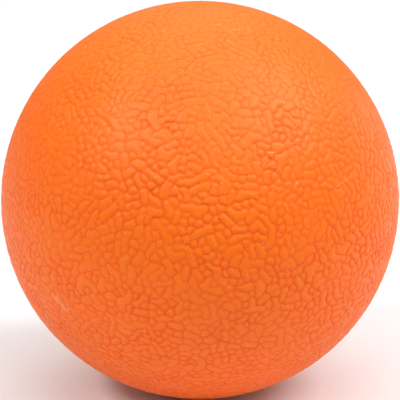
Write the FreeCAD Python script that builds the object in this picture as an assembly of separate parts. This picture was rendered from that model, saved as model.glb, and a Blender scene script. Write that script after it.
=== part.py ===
"""Massage ball: a dense round core in a moulded rubber cover of two cemented half cups.

Units are millimetres. The origin is the ball's centre and +Z is up. The two half cups part at the
XZ plane: the front one lies on the -Y side and the rear one on the +Y side. Every piece but the
core is a profile turned about the Y axis, which is the axis that the mould opens along.
"""
import FreeCAD, Part
import os

# Driving dimensions
BALL_DIAMETER = 63.0
COVER_WALL = 10.0   # rubber of a half cup, from its bore to the outside
CEMENT_FILM = 0.2   # cement between the core and the bores of the half cups
CEMENT_WEB = 0.2    # cement between the two rims, across the parting plane

# Worked out from them
BALL_RADIUS = BALL_DIAMETER / 2
BORE_RADIUS = BALL_RADIUS - COVER_WALL
CORE_RADIUS = BORE_RADIUS - CEMENT_FILM
RIM_OFFSET = CEMENT_WEB / 2   # from the parting plane to each rim

PARTS_FOLDER = "parts"
CENTRE = FreeCAD.Vector(0, 0, 0)
MOULD_AXIS = FreeCAD.Vector(0, 1, 0)
FULL_TURN = 360


def on_circle(radius, height):
    """The point of a circle about the origin, in the XY half plane with +X, at this height in Y."""
    return FreeCAD.Vector((radius**2 - height**2) ** 0.5, height, 0)


def arc(radius, start_height, end_height):
    """An arc about the origin between two heights, by way of the one halfway."""
    middle = on_circle(radius, (start_height + end_height) / 2)
    start = on_circle(radius, start_height)
    end = on_circle(radius, end_height)
    return Part.Arc(start, middle, end).toShape()


def line(start, end):
    return Part.makeLine(start, end)


def turned(edges):
    """The solid that a closed profile makes when it is turned about the mould's axis."""
    profile = Part.Face(Part.Wire(edges))
    return profile.revolve(CENTRE, MOULD_AXIS, FULL_TURN)


def make_core():
    """The inner ball, one dense piece with no hollow."""
    return Part.makeSphere(CORE_RADIUS)


def make_cover_half(side):
    """One half cup of the cover: side is -1 for the front one and +1 for the rear one."""
    rim = side * RIM_OFFSET
    outer_pole = side * BALL_RADIUS
    bore_pole = side * BORE_RADIUS
    return turned([
        arc(BALL_RADIUS, rim, outer_pole),
        line(on_circle(BALL_RADIUS, outer_pole), on_circle(BORE_RADIUS, bore_pole)),
        arc(BORE_RADIUS, bore_pole, rim),
        line(on_circle(BORE_RADIUS, rim), on_circle(BALL_RADIUS, rim)),
    ])


def make_bond_cement():
    """The cement: a film all round the core, and a flat web between the rims out to the surface."""
    film_bottom = on_circle(BORE_RADIUS, -BORE_RADIUS)
    film_top = on_circle(BORE_RADIUS, BORE_RADIUS)
    core_bottom = on_circle(CORE_RADIUS, -CORE_RADIUS)
    core_top = on_circle(CORE_RADIUS, CORE_RADIUS)
    return turned([
        arc(BORE_RADIUS, -BORE_RADIUS, -RIM_OFFSET),
        line(on_circle(BORE_RADIUS, -RIM_OFFSET), on_circle(BALL_RADIUS, -RIM_OFFSET)),
        arc(BALL_RADIUS, -RIM_OFFSET, RIM_OFFSET),
        line(on_circle(BALL_RADIUS, RIM_OFFSET), on_circle(BORE_RADIUS, RIM_OFFSET)),
        arc(BORE_RADIUS, RIM_OFFSET, BORE_RADIUS),
        line(film_top, core_top),
        arc(CORE_RADIUS, CORE_RADIUS, -CORE_RADIUS),
        line(core_bottom, film_bottom),
    ])


def main():
    os.makedirs(PARTS_FOLDER, exist_ok=True)
    pieces = {
        "core": make_core(),
        "bond_cement": make_bond_cement(),
        "front_cover_half": make_cover_half(-1),
        "rear_cover_half": make_cover_half(+1),
    }
    for node, solid in pieces.items():
        solid.exportStep(os.path.join(PARTS_FOLDER, node + ".step"))
        print(f"{node}: valid {solid.isValid()}, {len(solid.Solids)} solid, {solid.Volume:.0f} mm3")


main()
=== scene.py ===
"""Looks of the massage ball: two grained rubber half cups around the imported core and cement.

Lengths are in metres. The frame is the CAD's: origin at the ball's centre, +Z up, and the cups
part at the XZ plane, so the mould's axis is Y and the front cup lies on the -Y side.
"""
import math

import bpy
import numpy as np
from mathutils import Matrix, Vector, kdtree


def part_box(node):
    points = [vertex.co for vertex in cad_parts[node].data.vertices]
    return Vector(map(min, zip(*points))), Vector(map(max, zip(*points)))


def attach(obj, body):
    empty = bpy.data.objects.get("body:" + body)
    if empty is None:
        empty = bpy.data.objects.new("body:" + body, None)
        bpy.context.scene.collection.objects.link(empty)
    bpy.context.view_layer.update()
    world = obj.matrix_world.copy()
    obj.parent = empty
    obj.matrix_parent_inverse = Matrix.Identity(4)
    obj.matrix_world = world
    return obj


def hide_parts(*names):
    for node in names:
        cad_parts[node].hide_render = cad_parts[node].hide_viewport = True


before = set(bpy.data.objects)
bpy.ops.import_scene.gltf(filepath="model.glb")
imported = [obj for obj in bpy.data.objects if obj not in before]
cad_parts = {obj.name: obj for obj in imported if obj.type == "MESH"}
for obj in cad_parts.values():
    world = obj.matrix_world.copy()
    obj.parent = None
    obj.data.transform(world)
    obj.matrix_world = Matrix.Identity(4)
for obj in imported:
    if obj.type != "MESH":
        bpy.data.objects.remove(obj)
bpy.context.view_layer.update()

MM = 0.001

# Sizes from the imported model
FRONT_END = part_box("front_cover_half")[1]    # the front cup's greatest X, Y and Z
BALL_RADIUS = FRONT_END[2]
RIM_OFFSET = -FRONT_END[1]                   # from the parting plane to each rim
BORE_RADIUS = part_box("bond_cement")[1][1]    # the cement's film fills the bore

# The moulded grain
CAP_OVERLAP = 2 * MM          # how far past the rim the pattern goes on before it is cut
SEED_SPACING = 0.88 * MM      # least distance between two seeds of the grain
SEED_DARTS = 80000            # tries at placing a seed
RELAX_SAMPLES = 60000
RELAX_ROUNDS = 1
LINK_REACH = 1.62             # a cell grows to a seed within this many spacings
LINK_CLEARANCE = 0.499        # of a link's length, round its middle: half of it, less rounding
CELL_LENGTHS = (1, 2, 3, 4, 5)
CELL_LENGTH_ODDS = (0.46, 0.33, 0.13, 0.06, 0.02)
BRANCH_ODDS = 0.15            # of a side branch on a cell of three or more seeds
TURN_SPREAD = 0.75            # radians, how readily a cell bends
SHARPEST_TURN = math.radians(100)
SPINE_STEP = 0.28 * MM        # between the points that mark a cell's spine
LEAST_GAP = 1e-9              # between two spine points, so that nothing is divided by zero
NEAREST = 26                  # spine points looked at for each surface point
GROOVE_DEPTH = 0.205 * MM
GROOVE_REACH = 0.42 * MM      # from a groove's bottom to where a cell's top is flat
NO_GROOVE = 10 * GROOVE_REACH    # stands for the distance where there is no third cell
GROOVE_POWER = 2.0            # how round a cell's shoulder is
CORNER_ROUNDING = 0.10 * MM
SHALLOWEST = 0.32             # of its depth, what the shallowest groove lacks
WORN_AWAY = 0.38              # of a groove's depth, what it lacks where the grain is faintest
FAINT_WAY = np.array([-0.25, 0, 0.97])  # the side of the ball where the grain is fainter
FAINT_MIDDLE = 0.4            # how faint the grain is on the whole, from 0 to 1
FAINT_LEAN = 0.5              # how much fainter towards that side
FAINT_PATCHES = 0.2           # how much more or less in patches
WORN_SIZES = (4 * MM, 14 * MM)   # the wavelengths of faint and strong patches of grain
WAVES = 40                    # how many waves make up those patches
GIRTH = 0.12 * MM**2          # how strongly some cells push their neighbours' borders away
CELL_UNEVENNESS = 0.15        # of the groove's depth, how far some cells lie lower
PAIR_MIXERS = 12.9898, 78.233    # turn the numbers of two cells into an angle with no pattern
PAIR_SPREAD = 43758.5453      # stretches that angle's sine, and only the fraction is kept

# The mesh of a cup
SURFACE_STEP = 0.272 * MM     # between neighbouring points of the grained surface
BORE_STEP = 1.5 * MM
SMALLEST_RING = 5             # points
RIM_ROUNDING = 0.14 * MM
BEND_INSET = 0.3              # of RIM_ROUNDING, from its middle to each of the faces it joins
CALM_RIM = 1.5 * RIM_ROUNDING    # beside the rim, where no point moves onto a groove
SNAP_REACH = 0.40             # of SURFACE_STEP: points this near a groove's bottom move onto it
SNAP_ROUNDS = 6
LEAST_TRIANGLE = 0.25         # least doubled area of a triangle, of SURFACE_STEP squared


# ---- Grain -------------------------------------------------------------------------------------

def tree_of(points):
    """A search tree of points, which finds the nearest ones to a place."""
    tree = kdtree.KDTree(len(points))
    for index, point in enumerate(points):
        tree.insert(point, index)
    tree.balance()
    return tree


def onto_ball(points):
    """The points moved straight in or out onto the ball's surface."""
    return points * (BALL_RADIUS / np.linalg.norm(points, axis=1))[:, None]


def random_cap_points(rng, count):
    """Points spread evenly over the half of the sphere with +Y, and a little past its rim."""
    height = rng.uniform(-CAP_OVERLAP / BALL_RADIUS, 1, count)
    turn = rng.uniform(0, 2 * math.pi, count)
    ring = np.sqrt(1 - height**2)
    return BALL_RADIUS * np.column_stack([ring * np.cos(turn), height, ring * np.sin(turn)])


def scatter_seeds(rng):
    """Seeds over one cup, none nearer to another than SEED_SPACING, then evened out a little."""
    darts = random_cap_points(rng, SEED_DARTS)
    tree = tree_of(darts)
    free = np.ones(len(darts), bool)
    chosen = []
    for index, dart in enumerate(darts):
        if free[index]:
            chosen.append(index)
            for _, near, _ in tree.find_range(dart, SEED_SPACING):
                free[near] = False
    seeds = darts[chosen]
    for _ in range(RELAX_ROUNDS):
        seeds = evened_out(rng, seeds)
    return seeds


def evened_out(rng, seeds):
    """Each seed moved to the middle of the part of the surface that is nearest to it."""
    samples = random_cap_points(rng, RELAX_SAMPLES)
    tree = tree_of(seeds)
    owner = np.array([tree.find(sample)[1] for sample in samples])
    total = seeds.copy()
    np.add.at(total, owner, samples)
    return onto_ball(total)


def neighbour_links(seeds):
    """The neighbours of each seed, with no two links crossing: no third seed lies inside the
    circle that has a link as its diameter."""
    tree = tree_of(seeds)
    reach = LINK_REACH * SEED_SPACING
    links = [[] for _ in seeds]
    for index, seed in enumerate(seeds):
        for place, near, distance in tree.find_range(seed, reach):
            if near > index:
                middle = (Vector(seed) + place) / 2
                if tree.find(middle)[2] > LINK_CLEARANCE * distance:
                    links[index].append(near)
                    links[near].append(index)
    return links


def grow_cells(rng, seeds):
    """Joins the seeds into short bent chains, each the spine of one cell. A cell is a list of
    chains, and a chain is a list of seed numbers: the second chain, if any, is a side branch."""
    links = neighbour_links(seeds)
    taken = np.zeros(len(seeds), bool)
    cells = []
    for start in rng.permutation(len(seeds)):
        if taken[start]:
            continue
        taken[start] = True
        chain = [start]
        length = rng.choice(CELL_LENGTHS, p=CELL_LENGTH_ODDS)
        while len(chain) < length:
            step = next_seed(rng, seeds, links, taken, chain)
            if step is None:
                break
            taken[step] = True
            chain.append(step)
        cells.append([chain])
        if len(chain) > 2 and rng.random() < BRANCH_ODDS:
            root = chain[rng.integers(1, len(chain) - 1)]
            free = free_neighbours(links, taken, chain, root)
            if free:
                taken[free[0]] = True
                cells[-1].append([root, free[0]])
    return cells


def free_neighbours(links, taken, chain, root):
    """Untaken seeds next to this one of a chain that aren't also next to another one of it, so
    that a cell never folds back on itself into a wide patch."""
    others = {near for seed in chain if seed != root for near in links[seed]}
    return [near for near in links[root] if not taken[near] and near not in others]


def next_seed(rng, seeds, links, taken, chain):
    """A free neighbour of the chain's end, more likely one that lies straight ahead, or None."""
    end = chain[-1]
    free = free_neighbours(links, taken, chain, end)
    if not free:
        return None
    if len(chain) == 1:
        return free[rng.integers(len(free))]
    ahead = seeds[end] - seeds[chain[-2]]
    steps = seeds[free] - seeds[end]
    cosine = steps @ ahead / (np.linalg.norm(steps, axis=1) * np.linalg.norm(ahead))
    turn = np.arccos(np.clip(cosine, -1, 1))
    odds = np.exp(-turn / TURN_SPREAD) * (turn < SHARPEST_TURN)
    if odds.sum() == 0:
        return None
    return free[rng.choice(len(free), p=odds / odds.sum())]


def smooth_spine(stops):
    """Points every SPINE_STEP along a Catmull-Rom curve through the stops."""
    if len(stops) == 1:
        return stops
    padded = np.vstack([2 * stops[0] - stops[1], stops, 2 * stops[-1] - stops[-2]])
    pieces = [stops[:1]]
    for a, b, c, d in zip(padded, padded[1:], padded[2:], padded[3:]):
        count = max(1, round(np.linalg.norm(c - b) / SPINE_STEP))
        t = np.linspace(0, 1, count + 1)[1:, None]
        cubic = (3 * b - a - 3 * c + d) * t**3
        pieces.append((2 * b + (c - a) * t + (2 * a - 5 * b + 4 * c - d) * t**2 + cubic) / 2)
    return np.vstack(pieces)


def spine_points(seeds, cells):
    """Closely spaced points along each cell's spine, and the number of the cell of each."""
    points, owners = [], []
    for number, chains in enumerate(cells):
        for chain in chains:
            stops = smooth_spine(seeds[chain])
            points.append(stops)
            owners.append(np.full(len(stops), number))
    return onto_ball(np.vstack(points)), np.concatenate(owners)


def pair_chance(first, second):
    """A fixed random number from 0 to 1 for each pair of cells, whichever comes first."""
    low, high = np.minimum(first, second), np.maximum(first, second)
    angle = low * PAIR_MIXERS[0] + high * PAIR_MIXERS[1]
    return np.modf(np.abs(np.sin(angle)) * PAIR_SPREAD)[0]


def find_grooves(points, spines, owners, girth):
    """What lies round each point: the distance to the nearest groove and to the next one, past a
    third cell, the way to the nearest, how shallow those two grooves are, and the point's cell."""
    tree = tree_of(spines)
    found = [tree.find_n(point, NEAREST) for point in points]
    index = np.array([[hit[1] for hit in hits] for hits in found])
    power = np.array([[hit[2] for hit in hits] for hits in found]) ** 2
    cell = owners[index]
    power -= girth[cell]
    rows = np.arange(len(points))
    home = power.argmin(axis=1)
    own = cell[rows, home]
    apart = spines[index] - spines[index[rows, home]][:, None]
    gap = np.maximum(np.linalg.norm(apart, axis=2), LEAST_GAP)
    edge = (power - power[rows, home][:, None]) / (2 * gap)
    edge[cell == own[:, None]] = np.inf
    first = edge.argmin(axis=1)
    near = edge[rows, first]
    way = apart[rows, first] / gap[rows, first][:, None]
    beyond = cell[rows, first]
    edge[cell == beyond[:, None]] = np.inf
    second = edge.argmin(axis=1)
    far = np.minimum(edge[rows, second], NO_GROOVE)
    shallow = pair_chance(own, beyond), pair_chance(own, cell[rows, second])
    return near, far, way, shallow, own


def faint_patches(rng, points):
    """From 0 where the grain is strong to 1 where it is faint, in soft patches over the ball."""
    total = np.zeros(len(points))
    for _ in range(WAVES):
        way = rng.normal(size=3)
        way *= 2 * math.pi / (rng.uniform(*WORN_SIZES) * np.linalg.norm(way))
        total += np.sin(points @ way + rng.uniform(0, 2 * math.pi))
    patches = FAINT_PATCHES * total / math.sqrt(WAVES / 2)
    lean = FAINT_LEAN * (points @ FAINT_WAY) / BALL_RADIUS
    return np.clip(FAINT_MIDDLE + patches + lean, 0, 1)


def groove_share(near, far, shallow, faint):
    """How far down a cell's shoulder each point lies, evenly from 0 on its flat top to 1 at the
    bottom of a deep groove."""
    near_pull = np.exp(-near / CORNER_ROUNDING)
    far_pull = np.exp(-far / CORNER_ROUNDING)
    blend = -CORNER_ROUNDING * np.log(near_pull + far_pull)
    side = 1 - np.clip(blend / GROOVE_REACH, 0, 1)
    missing = (shallow[0] * near_pull + shallow[1] * far_pull) / (near_pull + far_pull)
    left = (1 - SHALLOWEST * missing) * (1 - WORN_AWAY * faint)
    return side * left ** (1 / GROOVE_POWER)


# ---- Mesh of a cup -----------------------------------------------------------------------------

def ring(radius, height, count, twist=0.0):
    """Points of a circle about the mould's axis."""
    turn = (np.arange(count) + twist) * 2 * math.pi / count
    return np.column_stack([radius * np.cos(turn), np.full(count, height), radius * np.sin(turn)])


def dome_rings(radius, start_height, step):
    """Rings of evenly spaced points over a dome, from a height next to its rim to its pole."""
    start = math.acos(start_height / radius)
    rows = round(start * radius / (step * math.sqrt(3) / 2))
    rings = []
    for row in range(rows):
        angle = start * (1 - row / rows)
        across = radius * math.sin(angle)
        count = max(SMALLEST_RING, round(2 * math.pi * across / step))
        rings.append(ring(across, radius * math.cos(angle), count, (row % 2) / 2))
    rings.append(np.array([[0.0, radius, 0.0]]))
    return rings


def cup_rings():
    """All rings of a cup, from its outer pole over the rounded rim to the bore's pole, and how many
    of them carry the grain."""
    outside = dome_rings(BALL_RADIUS, RIM_OFFSET + RIM_ROUNDING, SURFACE_STEP)
    rim_count = len(outside[0])
    inset = BEND_INSET * RIM_ROUNDING
    rim = [
        ring(BALL_RADIUS - inset, RIM_OFFSET + inset, rim_count),
        ring(BALL_RADIUS - RIM_ROUNDING, RIM_OFFSET, rim_count),
    ]
    bore = dome_rings(BORE_RADIUS, RIM_OFFSET, BORE_STEP)
    return outside[::-1] + rim + bore, len(outside)


def stitch(first, second):
    """Triangles between two rings of point numbers, which may differ in length or be one point."""
    faces = []
    a, b = 0, 0
    a_total = len(first) if len(first) > 1 else 0
    b_total = len(second) if len(second) > 1 else 0
    while a < a_total or b < b_total:
        here, there = first[a % len(first)], second[b % len(second)]
        if b == b_total or (a < a_total and (a + 1) / a_total <= (b + 1) / b_total):
            a += 1
            faces.append((here, first[a % len(first)], there))
        else:
            b += 1
            faces.append((here, second[b % len(second)], there))
    return faces


def stitch_all(rings):
    """The triangles between all neighbouring rings, whose points are numbered in order."""
    starts = np.cumsum([0] + [len(each) for each in rings])
    bands = [range(start, end) for start, end in zip(starts, starts[1:])]
    faces = []
    for first, second in zip(bands, bands[1:]):
        faces += stitch(first, second)
    return np.array(faces)


def snap_to_grooves(points, faces, near, way, may_move):
    """Moves each point next to a groove's bottom onto it, so that the grooves are crisp, but not
    where that would fold or nearly flatten a triangle. Returns the points and which ones moved."""
    snap = may_move & (near < SNAP_REACH * SURFACE_STEP)
    least = LEAST_TRIANGLE * SURFACE_STEP**2 * BALL_RADIUS
    for _ in range(SNAP_ROUNDS):
        moved = points + np.where(snap, near, 0)[:, None] * way
        a, b, c = (moved[faces[:, corner]] for corner in range(3))
        outward = np.einsum("ij,ij->i", np.cross(b - a, c - a), a)    # doubled area times radius
        snap[faces[outward < least].ravel()] = False
    return points + np.where(snap, near, 0)[:, None] * way, snap


def grained_points(rng, points, faces):
    """The outer points with the grain moulded in, and each one's share of groove."""
    seeds = scatter_seeds(rng)
    cells = grow_cells(rng, seeds)
    spines, owners = spine_points(seeds, cells)
    girth = rng.uniform(-GIRTH, GIRTH, len(cells))
    near, far, way, shallow, own = find_grooves(points, spines, owners, girth)
    inland = points[:, 1] > RIM_OFFSET + CALM_RIM
    points, snap = snap_to_grooves(points, faces, near, way, inland)
    groove = groove_share(np.where(snap, 0, near), far, shallow, faint_patches(rng, points))
    sunk = rng.uniform(0, CELL_UNEVENNESS, len(cells))[own]
    carved = groove**GROOVE_POWER
    depth = GROOVE_DEPTH * (carved + sunk * (1 - carved))
    radius = np.linalg.norm(points, axis=1)
    return points * ((BALL_RADIUS - depth) / radius)[:, None], groove


def build_cup(name, side, seed):
    """A closed half cup with the grain on its outside: side is -1 for the front one, +1 for the
    rear one."""
    rng = np.random.default_rng(seed)
    rings, outer_rings = cup_rings()
    points = np.vstack(rings)
    faces = stitch_all(rings)
    outer = sum(len(each) for each in rings[:outer_rings])
    outer_faces = faces[(faces < outer).all(axis=1)]
    groove = np.zeros(len(points))
    points[:outer], groove[:outer] = grained_points(rng, points[:outer], outer_faces)
    if side < 0:
        points[:, 1] *= -1
        faces = faces[:, ::-1]
    mesh = bpy.data.meshes.new(name)
    mesh.from_pydata(points.tolist(), [], faces.tolist())
    mesh.shade_smooth()
    layer = mesh.attributes.new("groove", "FLOAT", "POINT")
    layer.data.foreach_set("value", groove.astype(np.float32))
    cup = bpy.data.objects.new(name, mesh)
    bpy.context.scene.collection.objects.link(cup)
    return cup


# ---- Materials ---------------------------------------------------------------------------------

TOP_COLOUR = (0.97, 0.157, 0.005, 1)      # a cell's flat top
WORN_COLOUR = (0.97, 0.170, 0.007, 1)     # the same where it is a little chalky
EDGE_PAINTED_HIGHLIGHT = (0.97, 0.192, 0.012, 1)   # painted highlight where a cell's top turns into its shoulder
SHOULDER_PAINTED_SHADE = (0.97, 0.143, 0.003, 1)     # painted shade on a cell's shoulder, a little darker towards the groove
CREASE_PAINTED_SHADE = (0.92, 0.075, 0.001, 1)   # painted shade at a groove's bottom, standing in for the shadow inside it
SPECK_COLOUR = (0.96, 0.400, 0.170, 1)    # pale dust and rubbed spots

# Each pair of levels says where in a noise, or in the groove's share, a change begins and is full
PATCH_SIZE = 9 * MM
PATCH_LEVELS = 0.35, 0.65
GRIT_SIZE = 0.12 * MM
GRIT_LEVELS = 0.3, 0.7
SPOT_SIZE = 0.40 * MM         # of the spots that carry the specks and break up the scuff
SPECK_LEVELS = 0.66, 0.76
SPECK_STRENGTH = 0.35
# painted highlight round each cell's top: where in the groove's share it rises, where it falls, and
# how strong
HIGHLIGHT_RISE = 0.05, 0.30
HIGHLIGHT_FALL = 0.30, 0.60
HIGHLIGHT_STRENGTH = 0.4
SHOULDER_SHADE_POWER = 2.0              # of the groove's share, for the shoulder's painted shade: the higher, the nearer to its bottom
CREASE_POWER = 4.0
ROUGHNESS_ENDS = 0.38, 0.48   # from the smoothest grit to the roughest
CREASE_ROUGHNESS = 0.25       # added at a groove's bottom
SPECULAR_LEVEL = 0.24
SHEEN = 0.035
SHEEN_ROUGHNESS = 0.4
CREASE_DEPTH = 0.05 * MM      # of the crease that the bump adds to a groove's bottom
GRIT_RELIEF = 0.10            # these three are parts of CREASE_DEPTH
SPOT_RELIEF = 0.25
STREAK_RELIEF = 0.75

# The pieces inside, which show only where the cement comes out between the rims
CRUMB_SIZE = 1.6 * MM
CRUMB_RELIEF = 0.08 * MM
SHADE_LEVELS = 0.25, 0.75     # of a crumb's random number, from dark to pale
DUST_SIZE = 0.2 * MM
DUST_LEVELS = 0.45, 0.7
DUST_STRENGTH = 0.5
BINDER_ENDS = 0.02, 0.08      # from a crumb's edge, where the binder is full and where it ends
CORE_ROUGHNESS = 0.75, 0.5    # of the crumbs and of the binder
DARK_CRUMB = (0.020, 0.018, 0.017, 1)
PALE_CRUMB = (0.085, 0.075, 0.068, 1)
BINDER = (0.30, 0.17, 0.07, 1)
CEMENT_COLOUR = (0.88, 0.130, 0.004, 1)
DEEP_CEMENT = (0.80, 0.085, 0.003, 1)
PALE_CEMENT = (0.92, 0.240, 0.030, 1)
MOTTLE_SIZE = 2.5 * MM
MOTTLE_LEVELS = 0.35, 0.65
SKIN_SIZE = 0.3 * MM
SKIN_LEVELS = 0.3, 0.7
BUBBLE_SPACING = 0.6 * MM
BUBBLE_LEVELS = 0.2, 0.3
BUBBLE_STRENGTH = 0.4
CEMENT_ROUGHNESS = 0.45, 0.7
CEMENT_RELIEF = 0.03 * MM

# Marks on the front cup: both ends as turn right of the front and lift above the middle, in degrees.
# A mark fades out past these parts of its half length and its width.
MARK_FULL_LENGTH = 0.8
MARK_FULL_WIDTH = 0.4
SCUFF_ENDS = (-45.9, -17.3), (-40.0, -22.0)
SCUFF_WIDTH = 0.80 * MM
SCUFF_LEVELS = 0.48, 0.64
SCUFF_STRENGTHS = 0.08, 0.9   # between the spots and on them

# A scratch and short pale dashes on the front cup: both ends, width, and how pale they are
PALE_STREAKS = (
    ((37.2, 12.4), (45.4, 15.1), 0.10 * MM, 0.4),
    ((18.3, 23.3), (21.1, 23.1), 0.15 * MM, 0.45),
    ((18.4, 63.1), (23.9, 62.9), 0.15 * MM, 0.5),
    ((12.8, 58.0), (14.6, 57.9), 0.18 * MM, 0.7),
    ((10.2, 65.5), (13.5, 65.6), 0.15 * MM, 0.5),
)


def on_ball(turn, lift):
    """The point of the ball at these angles in degrees."""
    turn, lift = math.radians(turn), math.radians(lift)
    level = math.cos(lift)
    way = Vector((level * math.sin(turn), -level * math.cos(turn), math.sin(lift)))
    return BALL_RADIUS * way


def new_material(name):
    """A material, its node tree and its shader."""
    material = bpy.data.materials.new(name)
    material.use_nodes = True
    return material, material.node_tree, material.node_tree.nodes["Principled BSDF"]


def add_math(tree, operation, first, second):
    """A Math node's output: each input is a socket or a number."""
    node = tree.nodes.new("ShaderNodeMath")
    node.operation = operation
    for socket, value in zip(node.inputs, (first, second)):
        if isinstance(value, bpy.types.NodeSocket):
            tree.links.new(value, socket)
        else:
            socket.default_value = value
    return node.outputs[0]


def add_mix(tree, factor, first, second):
    """A colour Mix node's output: each colour is a socket or four numbers."""
    node = tree.nodes.new("ShaderNodeMix")
    node.data_type = "RGBA"
    tree.links.new(factor, node.inputs[0])
    colour_sockets = node.inputs[6:8]    # the ones before them are for numbers and vectors
    for socket, value in zip(colour_sockets, (first, second)):
        if isinstance(value, bpy.types.NodeSocket):
            tree.links.new(value, socket)
        else:
            socket.default_value = value
    return node.outputs[2]


def add_noise(tree, size, detail):
    """Noise from 0 to 1, with features of about this size and this many finer layers."""
    place = tree.nodes.new("ShaderNodeTexCoord")
    node = tree.nodes.new("ShaderNodeTexNoise")
    node.inputs["Scale"].default_value = 1 / size
    node.inputs["Detail"].default_value = detail
    tree.links.new(place.outputs["Object"], node.inputs["Vector"])
    return node.outputs["Fac"]


def add_range(tree, value, levels, new_levels=(0, 1)):
    """A value stretched from one range to another, and kept inside it."""
    node = tree.nodes.new("ShaderNodeMapRange")
    tree.links.new(value, node.inputs["Value"])
    for socket, number in zip(node.inputs[1:5], (*levels, *new_levels)):
        socket.default_value = number
    return node.outputs[0]


def add_vector_math(tree, operation, place, vector):
    """The number that a Vector Math node makes of a socket and a fixed vector."""
    node = tree.nodes.new("ShaderNodeVectorMath")
    node.operation = operation
    tree.links.new(place, node.inputs[0])
    node.inputs[1].default_value = vector
    return node.outputs["Value"]


def add_crumbs(tree, size, feature):
    """A Voronoi texture of cells of about this size."""
    place = tree.nodes.new("ShaderNodeTexCoord")
    node = tree.nodes.new("ShaderNodeTexVoronoi")
    node.feature = feature
    node.inputs["Scale"].default_value = 1 / size
    tree.links.new(place.outputs["Object"], node.inputs["Vector"])
    return node


def add_bump(tree, shader, height, distance):
    """Relief of this height in metres for the shader's normal."""
    bump = tree.nodes.new("ShaderNodeBump")
    bump.inputs["Distance"].default_value = distance
    tree.links.new(height, bump.inputs["Height"])
    tree.links.new(bump.outputs["Normal"], shader.inputs["Normal"])


def add_mark(tree, ends, width):
    """1 on a mark that runs straight between two points of the ball, 0 this far to its sides."""
    start, end = (on_ball(*angles) for angles in ends)
    half = (end - start).length / 2
    place = tree.nodes.new("ShaderNodeTexCoord").outputs["Object"]
    away = add_vector_math(tree, "DISTANCE", place, (start + end) / 2)
    inside = add_range(tree, away, (MARK_FULL_LENGTH * half, half), (1, 0))
    across = start.cross(end).normalized()
    beside = add_math(tree, "ABSOLUTE", add_vector_math(tree, "DOT_PRODUCT", place, across), 0)
    covered = add_range(tree, beside, (MARK_FULL_WIDTH * width, width), (1, 0))
    return add_math(tree, "MULTIPLY", inside, covered)


def add_pale_streaks(tree):
    """How pale a scratch and short pale dashes make each place."""
    pale = 0
    for start, end, width, strength in PALE_STREAKS:
        mark = add_math(tree, "MULTIPLY", add_mark(tree, (start, end), width), strength)
        pale = add_math(tree, "MAXIMUM", mark, pale)
    return pale


def cover_rubber():
    """Orange rubber: soft shine, painted groove shade, painted cell-edge highlights, pale specks, a
    scuff and streaks.
    """
    material, tree, shader = new_material("grained_cover_rubber")
    shoulder = tree.nodes.new("ShaderNodeAttribute")
    shoulder.attribute_name = "groove"
    groove = shoulder.outputs["Fac"]
    crease = add_math(tree, "POWER", groove, CREASE_POWER)
    patches = add_range(tree, add_noise(tree, PATCH_SIZE, 3), PATCH_LEVELS)
    grit = add_noise(tree, GRIT_SIZE, 2)
    spots = add_noise(tree, SPOT_SIZE, 1)
    specks = add_range(tree, spots, SPECK_LEVELS, (0, SPECK_STRENGTH))
    worn_spots = add_range(tree, spots, SCUFF_LEVELS, SCUFF_STRENGTHS)
    scuff = add_math(tree, "MULTIPLY", add_mark(tree, SCUFF_ENDS, SCUFF_WIDTH), worn_spots)
    pale_streaks = add_pale_streaks(tree)
    pale = add_math(tree, "MAXIMUM", add_math(tree, "MAXIMUM", specks, scuff), pale_streaks)

    tops = add_mix(tree, patches, TOP_COLOUR, WORN_COLOUR)
    # painted highlight: a paler ring where each cell's top turns into its shoulder
    rise = add_range(tree, groove, HIGHLIGHT_RISE, (0, HIGHLIGHT_STRENGTH))
    fall = add_range(tree, groove, HIGHLIGHT_FALL, (1, 0))
    with_edge_highlight = add_mix(tree, add_math(tree, "MULTIPLY", rise, fall), tops, EDGE_PAINTED_HIGHLIGHT)
    # painted shade: a cell's shoulder a little darker towards the groove
    with_shoulder_shade = add_mix(tree, add_math(tree, "POWER", groove, SHOULDER_SHADE_POWER), with_edge_highlight, SHOULDER_PAINTED_SHADE)
    # painted shade: the groove's bottom darker and redder, standing in for the shadow inside it
    with_crease_shade = add_mix(tree, crease, with_shoulder_shade, CREASE_PAINTED_SHADE)
    tree.links.new(add_mix(tree, pale, with_crease_shade, SPECK_COLOUR), shader.inputs["Base Color"])

    speckle = add_range(tree, grit, GRIT_LEVELS, ROUGHNESS_ENDS)
    duller = add_math(tree, "MULTIPLY", crease, CREASE_ROUGHNESS)
    tree.links.new(add_math(tree, "ADD", speckle, duller), shader.inputs["Roughness"])

    relief = add_math(tree, "MULTIPLY", grit, GRIT_RELIEF)
    for height, share in ((spots, SPOT_RELIEF), (pale_streaks, STREAK_RELIEF)):
        relief = add_math(tree, "ADD", relief, add_math(tree, "MULTIPLY", height, share))
    add_bump(tree, shader, add_math(tree, "SUBTRACT", relief, crease), CREASE_DEPTH)
    shader.inputs["Specular IOR Level"].default_value = SPECULAR_LEVEL
    shader.inputs["Sheen Weight"].default_value = SHEEN
    shader.inputs["Sheen Roughness"].default_value = SHEEN_ROUGHNESS
    return material


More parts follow.
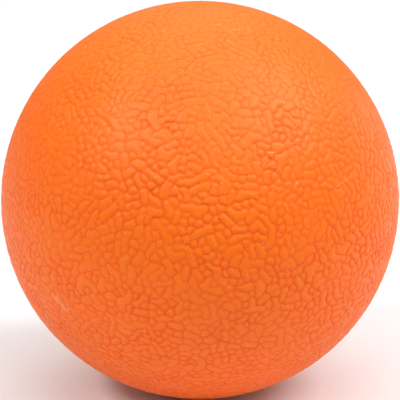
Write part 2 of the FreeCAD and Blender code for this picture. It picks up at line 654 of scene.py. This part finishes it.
def core_rubber():
    """Pressed rubber crumb: dark granules of mixed shades, with a little binder between them."""
    material, tree, shader = new_material("pressed_crumb_rubber")
    crumbs = add_crumbs(tree, CRUMB_SIZE, "F1")
    gaps = add_crumbs(tree, CRUMB_SIZE, "DISTANCE_TO_EDGE")
    shades = add_range(tree, crumbs.outputs["Color"], SHADE_LEVELS)
    dust = add_range(tree, add_noise(tree, DUST_SIZE, 3), DUST_LEVELS, (0, DUST_STRENGTH))
    binder = add_range(tree, gaps.outputs["Distance"], BINDER_ENDS, (1, 0))
    granules = add_mix(tree, shades, DARK_CRUMB, PALE_CRUMB)
    dusty = add_mix(tree, dust, granules, PALE_CRUMB)
    tree.links.new(add_mix(tree, binder, dusty, BINDER), shader.inputs["Base Color"])
    tree.links.new(add_range(tree, binder, (0, 1), CORE_ROUGHNESS), shader.inputs["Roughness"])
    add_bump(tree, shader, add_math(tree, "SUBTRACT", shades, binder), CRUMB_RELIEF)
    return material


def dried_cement():
    """Rubber cement, dyed by the cover: mottled orange, with small bubbles and a dull skin."""
    material, tree, shader = new_material("dried_rubber_cement")
    mottle = add_range(tree, add_noise(tree, MOTTLE_SIZE, 4), MOTTLE_LEVELS)
    froth = add_crumbs(tree, BUBBLE_SPACING, "F1").outputs["Distance"]
    bubbles = add_range(tree, froth, BUBBLE_LEVELS, (1, 0))
    skin = add_noise(tree, SKIN_SIZE, 3)
    film = add_mix(tree, mottle, CEMENT_COLOUR, DEEP_CEMENT)
    popped = add_math(tree, "MULTIPLY", bubbles, BUBBLE_STRENGTH)
    tree.links.new(add_mix(tree, popped, film, PALE_CEMENT), shader.inputs["Base Color"])
    tree.links.new(add_range(tree, skin, SKIN_LEVELS, CEMENT_ROUGHNESS), shader.inputs["Roughness"])
    add_bump(tree, shader, add_math(tree, "SUBTRACT", skin, bubbles), CEMENT_RELIEF)
    return material


# ---- Stage -------------------------------------------------------------------------------------

ELEVATION = math.radians(12)  # of the camera
CAMERA_DISTANCE = 6 * BALL_RADIUS
LENS = 106.1                  # millimetres, for which the ball just fills the frame
SENSOR_WIDTH = 36
NEAREST_SEEN = 0.01
FLOOR_HALF = 2.5
PAPER_COLOUR = (0.80, 0.80, 0.80, 1)
PAPER_ROUGHNESS = 0.9
TO_THE_FRONT = (0, -1, 0)
BOUNCE_COLOUR = (0.75, 0.75, 0.75, 1)   # the paper as bounced light meets it
CARD_COLOUR = (0.02, 0.02, 0.02, 1)
CARD_START = 0.076            # in front of the ball's centre
CARD_SOFTNESS = 0.005
AMBIENT_STRENGTH = 0.20       # of the world's light
EXTRA_SEEN = 0.80             # what the camera sees of the world beyond that
WHITE = (1, 1, 1, 1)

# Name, direction from the ball, distance, size, and power in watts
SOFTBOXES = (
    ("left_softbox", (-0.57, -0.36, 0.74), 4.8, 1.0, 84),
    ("right_softbox", (0.61, -0.16, 0.77), 4.8, 2.4, 144),
    ("left_fill", (-0.45, -0.66, 0.60), 4.8, 3.0, 50),
    ("right_fill", (0.45, -0.66, 0.60), 4.8, 3.0, 50),
    ("front_overhead", (0, -0.50, 0.87), 5.6, 3.6, 52),
    ("overhead", (0, 0.2, 0.98), 5.6, 4.8, 106),
    ("back_overhead", (0, 0.75, 0.66), 5.6, 4.0, 14),
    ("right_rim", (0.8, 0.63, 0.07), 5.6, 3.2, 48),
)

# Node, side and random seed of each grained cup
CUPS = (("front_cover_half", -1, 11), ("rear_cover_half", 1, 23))


def camera_frame():
    """The camera's right, up and backward directions."""
    right = Vector((1, 0, 0))
    back = Vector((0, -math.cos(ELEVATION), math.sin(ELEVATION)))
    return right, back.cross(right), back


def add_camera():
    """The camera, in front of the ball and a little above it, aimed at its centre."""
    right, up, back = camera_frame()
    data = bpy.data.cameras.new("camera")
    data.lens = LENS
    data.sensor_width = SENSOR_WIDTH
    data.clip_start = NEAREST_SEEN
    camera = bpy.data.objects.new("camera", data)
    turn = Matrix((right, up, back)).transposed()
    camera.matrix_world = Matrix.Translation(CAMERA_DISTANCE * back) @ turn.to_4x4()
    bpy.context.scene.collection.objects.link(camera)
    bpy.context.scene.camera = camera


def add_softbox(name, direction, distance, size, power):
    """A square area light at a direction from the ball, turned to it."""
    place = Vector(direction).normalized() * distance
    data = bpy.data.lights.new(name, "AREA")
    data.shape = "SQUARE"
    data.size = size
    data.energy = power
    light = bpy.data.objects.new(name, data)
    light.location = place
    light.rotation_euler = place.to_track_quat("Z", "Y").to_euler()
    light.visible_camera = False
    bpy.context.scene.collection.objects.link(light)


def add_floor():
    """Pale paper. In front of the ball, light that would bounce off it is taken away, as by a
    black card that the camera can't see, so that the grain there keeps its shadows."""
    mesh = bpy.data.meshes.new("floor")
    half, z = FLOOR_HALF, -BALL_RADIUS
    corners = [(-half, -half, z), (half, -half, z), (half, half, z), (-half, half, z)]
    mesh.from_pydata(corners, [], [(0, 1, 2, 3)])
    floor = bpy.data.objects.new("floor", mesh)
    material, tree, shader = new_material("floor_paper")
    place = tree.nodes.new("ShaderNodeTexCoord").outputs["Object"]
    forward = add_vector_math(tree, "DOT_PRODUCT", place, TO_THE_FRONT)
    behind = add_range(tree, forward, (CARD_START, CARD_START + CARD_SOFTNESS), (1, 0))
    seen = tree.nodes.new("ShaderNodeLightPath").outputs["Is Camera Ray"]
    bounced = add_mix(tree, behind, CARD_COLOUR, BOUNCE_COLOUR)
    tree.links.new(add_mix(tree, seen, bounced, PAPER_COLOUR), shader.inputs["Base Color"])
    shader.inputs["Roughness"].default_value = PAPER_ROUGHNESS
    shader.inputs["Specular IOR Level"].default_value = 0
    mesh.materials.append(material)
    bpy.context.scene.collection.objects.link(floor)


def add_world():
    """An even white room, brighter to the camera than to the ball, so that it shows as white."""
    world = bpy.data.worlds.new("studio")
    world.use_nodes = True
    nodes, links = world.node_tree.nodes, world.node_tree.links
    path = nodes.new("ShaderNodeLightPath")
    seen = nodes.new("ShaderNodeMath")
    seen.operation = "MULTIPLY_ADD"
    seen.inputs[1].default_value = EXTRA_SEEN
    seen.inputs[2].default_value = AMBIENT_STRENGTH
    links.new(path.outputs["Is Camera Ray"], seen.inputs[0])
    links.new(seen.outputs[0], nodes["Background"].inputs["Strength"])
    nodes["Background"].inputs["Color"].default_value = WHITE
    bpy.context.scene.world = world
    bpy.context.scene.view_settings.view_transform = "Standard"


def main():
    rubber = cover_rubber()
    for node, side, seed in CUPS:
        cup = build_cup(node.replace("_half", "_grained"), side, seed)
        cup.data.materials.append(rubber)
        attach(cup, "root")
        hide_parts(node)
    for node, looks in (("core", core_rubber()), ("bond_cement", dried_cement())):
        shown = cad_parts[node]
        shown.data.materials.clear()
        shown.data.materials.append(looks)
    add_camera()
    add_floor()
    add_world()
    for softbox in SOFTBOXES:
        add_softbox(*softbox)


main()
